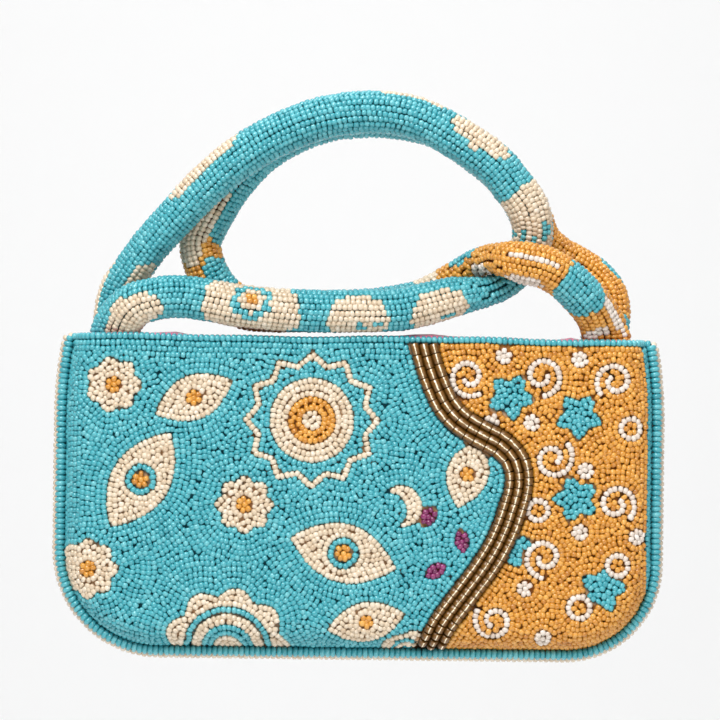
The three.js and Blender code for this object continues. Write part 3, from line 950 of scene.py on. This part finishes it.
# The ground's threads under turquoise, cream and the other beads, and under the band
GROUND_THREADS = [(0.0, "145560"), (0.4, "D2A67C"), (0.6, "A4662A"), (1.0, "4A300F")]

# Parts of the bag

def grid_faces(columns, rows, turned, first=0):
    """The faces between the places of a grid, which runs in columns from the mouth down."""
    faces = []
    for i in range(columns - 1):
        for j in range(rows - 1):
            corner = first + i * rows + j
            ring = [corner, corner + 1, corner + rows + 1, corner + rows]
            faces.append(ring[::-1] if turned else ring)
    return faces

def sheet_mesh(name, grid, material, turned):
    return mesh_object(name, grid.reshape(-1, 3), grid_faces(*grid.shape[:2], turned), material)

def apply_modifier(obj, kind, **settings):
    pick_alone(obj)
    modifier = obj.modifiers.new(kind.lower(), kind)
    for name, value in settings.items():
        setattr(modifier, name, value)
    bpy.ops.object.modifier_apply(modifier=modifier.name)

def ground_values(pattern, grid):
    """Which thread the places of a cloth grid are dyed to match, as places among the ground's threads."""
    z = np.minimum(grid[..., 2] + STRAP_RISE, PANEL_TOP - 1 * MM)
    i = np.clip(np.round((z - pattern.q[0]) / pattern.CELL).astype(int), 0, len(pattern.q) - 1)
    j = np.clip(np.round((grid[..., 0] - pattern.p[0]) / pattern.CELL).astype(int), 0, len(pattern.p) - 1)
    finish = np.array(pattern.finishes)[pattern.patch[i, j]]
    return np.select([finish == TURQUOISE, finish == CREAM, finish == NONE], [0.0, 0.4, 1.0], 0.6)

def dress_panel(side, name, make_pattern, longest, shape, cells, rng):
    """The beads of one panel, and the woven cloth that they are sewn on."""
    pouch = Pouch(side, BEAD_SINK)
    pattern = make_pattern(pouch)
    beads = lay_pattern(pattern, rng, longest)
    laid = laid_on(pouch.place, side, np.array(beads.places), np.array(beads.directions), 0.3 * MM)
    bead_pieces(name, f"{name}_panel", shape, laid, beads, BEAD_PITCH, rng)
    grid = Pouch(side, CLOTH_SINK).hemmed_grid(*cells, -EDGING / 2)
    ground = woven_ground(f"{name}_woven_cotton", GROUND_THREADS)
    cloth = sheet_mesh(f"{name}_cloth", grid, ground, side == BACK)
    add_attribute(cloth, "ground", ground_values(pattern, grid))
    apply_modifier(cloth, "SOLIDIFY", thickness=CLOTH_THICKNESS, offset=-1)
    stands_for(cloth, f"{name}_panel")

def edging_line(side):
    """The closed path of a rolled edging: round the sides and the bottom, then back along the mouth."""
    clear = EDGING / 2 + GAP
    outline = BORDERS[side] - clear
    seam_y = side * (EDGING + GAP) / 2
    turns = np.linspace(0, math.pi / 2, 24)[1:]
    borders = []
    for hand, corner in ((-1, LEFT_CORNER), (1, RIGHT_CORNER)):
        heights = np.linspace(PANEL_TOP, corner - FRONT_HEIGHT, 20)
        round_x = HALF_WIDTH - corner + (corner - outline) * np.cos(turns)
        round_z = corner - FRONT_HEIGHT - (corner - outline) * np.sin(turns)
        x = hand * np.append(reach_at(heights, hand, outline), round_x)
        borders.append(np.stack([x, np.full(len(x), seam_y), np.append(heights, round_z)], 1))
    turns = np.radians([35, 70])
    end_x = half_width_at(PANEL_TOP) - BORDERS[side] + clear * np.cos(turns)
    end = np.stack([end_x, [seam_y, seam_y], PANEL_TOP + clear * np.sin(turns)], 1)
    middle = Pouch(side, BEADED_WALL / 2)
    reach = half_width_at(PANEL_TOP) - middle.edge
    x = np.linspace(reach, -reach, 80)
    depth = np.abs(middle.over(x, np.full(80, PANEL_TOP))[:, 1]) - GAP / 2
    mouth = np.stack([x, side * np.maximum(depth, abs(seam_y)), np.full(80, PANEL_TOP + clear)], 1)
    line = np.vstack([borders[0], borders[1][::-1], end, mouth, end[::-1] * [-1, 1, 1], borders[0][:1]])
    line[:, 2] += mouth_wave(line[:, 0], line[:, 2]) - STRAP_RISE
    return line

def dress_edging(side, name, finish, shape, rng):
    """One row of larger beads strung round a panel, on the cord of its rolled edge."""
    places, along = spaced_along(edging_line(side), RIM_BEAD_PITCH, rng, 0.02)
    outward = unit(np.cross(along, [0.0, 1.0, 0.0]))
    count = len(places)
    tilted = unit(along + random_vectors(count, rng, RIM_BEAD_TILT))
    widths = np.where(places[:, 2] > PANEL_TOP - STRAP_RISE, MOUTH_BEAD_WIDTH, RIM_BEAD_WIDTHS[side])
    widths = widths * varied(count, rng, *RIM_WIDTHS)
    lengths = RIM_BEAD_PITCH * varied(count, rng, *RIM_LENGTHS)
    tones = varied(count, rng, *RIM_TONES)
    laid = places, tilted, outward
    beads = joined_beads(f"{name}_edging_beads", shape, laid, widths, lengths, tones, BEAD_MATERIALS[finish])
    stands_for(beads, f"{name}_edging")

def dress_band(shape, rng):
    """Three rows of bugles side by side on the cloth, longer in the upper part of the band."""
    direction = unit(np.gradient(BAND_CURVE, axis=0))
    beside = np.stack([direction[:, 1], -direction[:, 0]], 1)
    starts, ends = [], []
    for shift in (-1, 0, 1):
        line = BAND_CURVE + beside * shift * BUGLE_WIDTH
        reach = reach_along(line)
        done, last = np.interp((-BAND_TOP, -BAND_BOTTOM), -line[:, 1], reach)
        while done < last - 1.5 * MM:
            length = rng.uniform(*(LONG_BUGLES if done / last < 0.45 else SHORT_BUGLES)) * MM
            starts.append(points_at(done, reach, line))
            ends.append(points_at(min(done + length, last), reach, line))
            done += length
    starts, ends = np.array(starts), np.array(ends)
    flat = (starts + ends) / 2
    places, along, outward = laid_on(Pouch(FRONT, 0).over, FRONT, flat, unit(ends - starts), 0.5 * MM)
    count = len(flat)
    widths = BUGLE_WIDTH * varied(count, rng, *BUGLE_WIDTHS)
    lengths = np.linalg.norm(ends - starts, axis=1) - BUGLE_GAP
    tones = varied(count, rng, *TONES)
    laid = places + outward * 0.1 * MM, along, outward
    bugles = joined_beads("gold_bugle_band", shape, laid, widths, lengths, tones, bronze_glass_with_painted_streak())
    # "around" is each corner's height on the tube; the glass paints its highlight streak along the top by it.
    add_attribute(bugles, "around", np.tile(np.clip(shape[0][:, 2] / 0.5, 0, 1), count))
    stands_for(bugles, "gold_band")

# Where the lining's edge stands up over the front's rim. Columns: x, width.
LINING_BUMPS = [(-80 * MM, 4 * MM), (28 * MM, 9 * MM), (88 * MM, 3 * MM)]
BUMP_HEIGHT = 1.2 * MM

def make_lining():
    """The satin pocket, whose edge stands a little above the beads here and there."""
    points, faces = [], []
    for side in (FRONT, BACK):
        grid = Pouch(side, BEADED_WALL + GAP, BORDERS[FRONT]).grid(48, 24, PANEL_TOP + SATIN_RISE)
        lip = Pouch(side, LIP_SINK, BORDERS[FRONT]).grid(48, 24, PANEL_TOP + LIP_RISE)[:, :1]
        for x, width in LINING_BUMPS if side == FRONT else ():
            grid[:, 0, 2] += BUMP_HEIGHT * np.exp(-(((grid[:, 0, 0] - x) / width) ** 2))
        grid = np.concatenate([lip, grid], axis=1)
        faces += grid_faces(*grid.shape[:2], side == BACK, len(points))
        points += list(grid.reshape(-1, 3))
    lining = mesh_object("satin_lining", points, faces, pink_satin())
    pick_alone(lining)
    bpy.ops.object.mode_set(mode="EDIT")
    bpy.ops.mesh.select_all(action="SELECT")
    bpy.ops.mesh.remove_doubles(threshold=0.4 * MM)
    bpy.ops.object.mode_set(mode="OBJECT")
    apply_modifier(lining, "SOLIDIFY", thickness=SATIN_THICKNESS, offset=-1)
    stands_for(lining, "lining")

class StrapPath:
    """A strap's middle line with its section at each sample, as the solids have it."""

    SAMPLES = 6

    def __init__(self, rows, side):
        inside_depth = POUCH_DEPTH / 2 - BEADED_WALL - GAP - LINING_WALL
        foot_depth = inside_depth - GAP - FOOT_PARTING / 2
        foot_x = side * (HALF_WIDTH - FOOT_SET_IN)

        def foot(face, z):
            return (foot_x, face * (foot_depth + FOOT_PARTING) / 2, z, FOOT_WIDTH, foot_depth)

        middle = [
            (x * HALF_WIDTH, y * STRAP_DIAMETER, z * STRAP_RISE, wide * STRAP_DIAMETER, deep * STRAP_DIAMETER)
            for x, y, z, wide, deep in rows
        ]
        ends = foot(FRONT, -FOOT_LENGTH), foot(FRONT, 0), foot(BACK, 0), foot(BACK, -FOOT_LENGTH)
        stations = np.array([*ends[:2], *middle, *ends[2:]])
        self.centre = curve_through(stations[:, :3], self.SAMPLES)
        self.centre[:, 2] -= STRAP_RISE
        share = np.arange(len(self.centre)) / self.SAMPLES
        self.wide, self.deep = points_at(share, np.arange(len(stations)), stations[:, 3:]).T
        along = unit(np.gradient(self.centre, axis=0))
        self.backward = unit(np.array([0.0, 1.0, 0.0]) - along * along[:, 1:2])
        self.sideways = np.cross(along, self.backward)
        self.reach = reach_along(self.centre)

    def line(self, angle, sink):
        """The line along the strap at an angle round it, so far under its surface. 0 faces sideways
        and 90 degrees faces back."""
        first = (self.wide / 2 - sink) * np.cos(angle)
        second = (self.deep / 2 - sink) * np.sin(angle)
        return self.centre + self.sideways * first[:, None] + self.backward * second[:, None]

    def outward(self, angle):
        first = np.cos(angle) / self.wide
        second = np.sin(angle) / self.deep
        return unit(self.sideways * first[:, None] + self.backward * second[:, None])

def patch_finish(patches, ground, along, turn):
    """The finish of a bead at a share of a strap's length and an angle round it."""
    finish = ground
    for middle, half_length, towards, half_angle, patch in patches:
        aside = (turn - towards + 180) % 360 - 180
        if ((along - middle) / half_length) ** 2 + (aside / half_angle) ** 2 < 1:
            finish = patch
    return finish

def lay_strap(path, patches, ground, rng):
    """Rows of beads along the strap. A row loses beads where the strap pinches or bends inwards."""
    cloth = BeadCloth()
    outward = []
    index = np.arange(len(path.centre))
    fine = np.linspace(0, len(index) - 1, (len(index) - 1) * 4 + 1)
    share = np.interp(fine, index, path.reach) / path.reach[-1]
    room = np.where(path.wide[fine.astype(int)] > PINCHED_WIDTH, STRAP_ROOM, PINCHED_ROOM)
    for row in range(STRAP_ROWS):
        angle = 2 * math.pi * (row + 0.5) / STRAP_ROWS
        wander = angle + WANDER * np.sin(path.reach / WANDER_LENGTH)
        wander = wander + WIGGLE * np.sin(path.reach / WIGGLE_LENGTH + 2 * row)
        line = points_at(fine, index, path.line(wander, BEAD_SINK))
        facing = unit(points_at(fine, index, path.outward(wander)))
        reach = reach_along(line)
        done = rng.uniform(0, 1) * STRAP_BEAD_PITCH
        while done < reach[-1]:
            place = points_at(done, reach, line)
            k = min(int(np.searchsorted(reach, done)), len(line) - 1)
            in_sight = place[2] > PANEL_TOP - STRAP_RISE - 2 * MM
            if in_sight and cloth.is_clear(tuple(place), room[k]):
                ahead = unit(line[min(k + 1, len(line) - 1)] - line[max(k - 2, 0)])
                finish = patch_finish(patches, ground, share[k], math.degrees(angle))
                cloth.lay(tuple(place), tuple(ahead), finish)
                outward.append(facing[k])
                done += STRAP_BEAD_PITCH * rng.uniform(*STRAP_PACE)
            else:
                done += STRAP_BEAD_PITCH / 4
    return cloth, np.array(outward)

def strap_core(name, path, colour):
    """The padded core under a strap's beads, in plain cotton of one colour."""
    sides = 16
    angles = np.arange(sides) * 2 * math.pi / sides
    grid = np.stack([path.line(angle, CLOTH_SINK) for angle in angles], 1)
    last = (len(grid) - 1) * sides
    faces = []
    for ring in range(0, last, sides):
        for k in range(sides):
            after = (k + 1) % sides
            faces.append([ring + k, ring + after, ring + sides + after, ring + sides + k])
    faces.append(list(range(sides))[::-1])
    faces.append(list(range(last, last + sides)))
    cotton = woven_ground(f"{name}_cotton", [(0.0, colour), (1.0, colour)])
    return mesh_object(name, grid.reshape(-1, 3), faces, cotton)

def dress_strap(name, rows, side, patches, ground, core_colour, shape, rng):
    """The beads of one strap, and its padded core."""
    path = StrapPath(rows, side)
    cloth, outward = lay_strap(path, patches, ground, rng)
    laid = np.array(cloth.places), np.array(cloth.directions), outward
    bead_pieces(name, name, shape, laid, cloth, STRAP_BEAD_PITCH, rng)
    core = strap_core(f"{name}_core", path, core_colour)
    stands_for(core, name)

# Patches on the straps. Columns: the middle and half the length, as shares of the strap's length from
# its front foot, the middle and half the angle round it, where 270 faces the front, and the finish. A
# later patch lies over an earlier one.
LEFT_STRAP_PATCHES = [
    (0.047, 0.034, 236, 66, CREAM),
    (0.162, 0.044, 265, 130, CREAM),
    (0.162, 0.0182, 285, 57, TURQUOISE),
    (0.162, 0.0124, 285, 38, CREAM),
    (0.162, 0.0058, 285, 19, OCHRE),
    (0.257, 0.027, 240, 85, CREAM),
    (0.259, 0.006, 222, 12, TURQUOISE),
    (0.274, 0.006, 226, 12, TURQUOISE),
    (0.327, 0.025, 234, 80, CREAM),
    (0.334, 0.005, 215, 14, TURQUOISE),
    (0.463, 0.03, 280, 900, CREAM),
    (0.452, 0.008, 300, 12, TURQUOISE),
    (0.446, 0.008, 262, 12, TURQUOISE),
    (0.455, 0.008, 225, 12, TURQUOISE),
    (0.449, 0.008, 345, 12, TURQUOISE),
    (0.452, 0.008, 180, 12, TURQUOISE),
    (0.448, 0.008, 60, 12, TURQUOISE),
    (0.454, 0.008, 120, 12, TURQUOISE),
    (0.548, 0.028, 218, 48, CREAM),
    (0.612, 0.028, 178, 34, CREAM),
    (0.7, 0.03, 100, 60, CREAM),
    (0.802, 0.04, 206, 42, CREAM),
    (0.92, 0.025, 314, 44, CREAM),
    (0.945, 0.03, 165, 40, CREAM),
]
RIGHT_STRAP_PATCHES = [
    (0.03, 0.006, 300, 46, WHITE),
    (0.043, 0.025, 221, 15, WHITE),
    (0.077, 0.02, 260, 110, TURQUOISE),
    (0.121, 0.018, 248.6, 8, WHITE),
    (0.122, 0.018, 336, 24, WHITE),
    (0.173, 0.014, 322, 42, WHITE),
    (0.192, 0.018, 180, 55, TURQUOISE),
    (0.235, 0.014, 190, 60, CREAM),
    (0.306, 0.057, 180, 900, TURQUOISE),
    (0.33, 0.018, 180, 60, CREAM),
    (0.436, 0.02, 222, 62, TURQUOISE),
    (0.495, 0.042, 300, 66, CREAM),
    (0.505, 0.038, 192, 52, TURQUOISE),
    (0.683, 0.163, 180, 900, TURQUOISE),
    (0.585, 0.025, 330, 60, CREAM),
    (0.66, 0.022, 90, 60, CREAM),
    (0.75, 0.025, 40, 60, CREAM),
    (0.8, 0.018, 120, 50, CREAM),
    (0.885, 0.018, 205, 28, TURQUOISE),
    (0.925, 0.012, 350, 25, TURQUOISE),
    (0.98, 0.022, 180, 900, TURQUOISE),
]

# Studio

CAMERA_DISTANCE = 1.0
FRONT_FACE_Y = -13.3 * MM
CAMERA_HEIGHT = -105.3 * MM
VIEW_WIDTH = 304.4 * MM
CAMERA_ROLL = -0.7
SENSOR_WIDTH = 36
LIGHT_TARGET = Vector((0, 0, -0.11))
# Soft lights. Columns: name, place, width and height, watts.
LIGHTS = [
    ("key_light", (-0.4, -1.0, 1.0), (0.8, 0.6), 24),
    ("fill_light", (1.1, -1.1, 0.2), (0.9, 0.9), 4),
    ("top_light", (0.1, 0.1, 1.2), (1.0, 0.8), 8),
    ("low_light", (0.1, -1.1, -0.6), (0.9, 0.5), 1.6),
]

def make_camera():
    """The photograph's view: square on to the front, from about a metre away."""
    data = bpy.data.cameras.new("camera")
    data.sensor_width = SENSOR_WIDTH
    data.lens = SENSOR_WIDTH * CAMERA_DISTANCE / VIEW_WIDTH
    data.clip_start = 0.01
    camera = bpy.data.objects.new("camera", data)
    camera.location = (0, FRONT_FACE_Y - CAMERA_DISTANCE, CAMERA_HEIGHT)
    camera.rotation_euler = (math.radians(90), math.radians(CAMERA_ROLL), 0)
    bpy.context.collection.objects.link(camera)
    bpy.context.scene.camera = camera

def make_studio():
    """A pale floor that sweeps up into a backdrop, and soft white light from above, below and one side."""
    floor_z, back_y, front_y, bend = -0.75, 1.3, -2.4, 0.5
    profile = [(front_y, floor_z), (back_y - bend, floor_z)]
    for turn in np.linspace(0, math.pi / 2, 12)[1:]:
        profile.append((back_y - bend + bend * math.sin(turn), floor_z + bend - bend * math.cos(turn)))
    profile.append((back_y, 2.2))
    grid = np.array([[(x, y, z) for y, z in profile] for x in (-2.5, 2.5)])
    paper = {"Base Color": linear("F4F4F4"), "Roughness": 0.9}
    paper |= {"Emission Color": linear("F9F9F9"), "Emission Strength": 0.05}
    sheet_mesh("studio_sweep", grid, new_material("matt_white_paper", paper)[0], True)
    for name, place, size, watts in LIGHTS:
        data = bpy.data.lights.new(name, "AREA")
        data.shape = "RECTANGLE"
        data.size, data.size_y = size
        data.energy = watts
        light = bpy.data.objects.new(name, data)
        light.location = place
        light.rotation_euler = (LIGHT_TARGET - Vector(place)).to_track_quat("-Z", "Y").to_euler()
        bpy.context.collection.objects.link(light)
    world = bpy.data.worlds.new("studio_white")
    world.use_nodes = True
    world.node_tree.nodes["Background"].inputs["Color"].default_value = linear("FFFFFF")
    world.node_tree.nodes["Background"].inputs["Strength"].default_value = 0.33
    bpy.context.scene.world = world
    bpy.context.scene.view_settings.view_transform = "Standard"

rng = random.Random(SEED)
BARREL = ((-0.5, 0.34), (-0.24, 0.5), (0.24, 0.5), (0.5, 0.34))
seed_bead = bead_shape(6, BARREL, True)
plain_bead = bead_shape(6, ((-0.5, 0.36), (0, 0.5), (0.5, 0.36)), True)
rim_bead = bead_shape(6, BARREL, False)
bugle = bead_shape(10, ((-0.5, 0.4), (-0.46, 0.5), (0.46, 0.5), (0.5, 0.4)), False)
make_camera()
make_studio()
dress_panel(FRONT, "front", front_pattern, 26 * MM, seed_bead, (96, 56), rng)
dress_panel(BACK, "back", back_pattern, 30 * MM, plain_bead, (48, 28), rng)
dress_edging(FRONT, "front", TURQUOISE, rim_bead, rng)
dress_edging(BACK, "back", CREAM, rim_bead, rng)
dress_band(bugle, rng)
make_lining()
dress_strap("left_strap", LEFT_STRAP_LINE, -1, LEFT_STRAP_PATCHES, TURQUOISE, "1B5F69", seed_bead, rng)
dress_strap("right_strap", RIGHT_STRAP_LINE, 1, RIGHT_STRAP_PATCHES, OCHRE, "7A4226", seed_bead, rng)
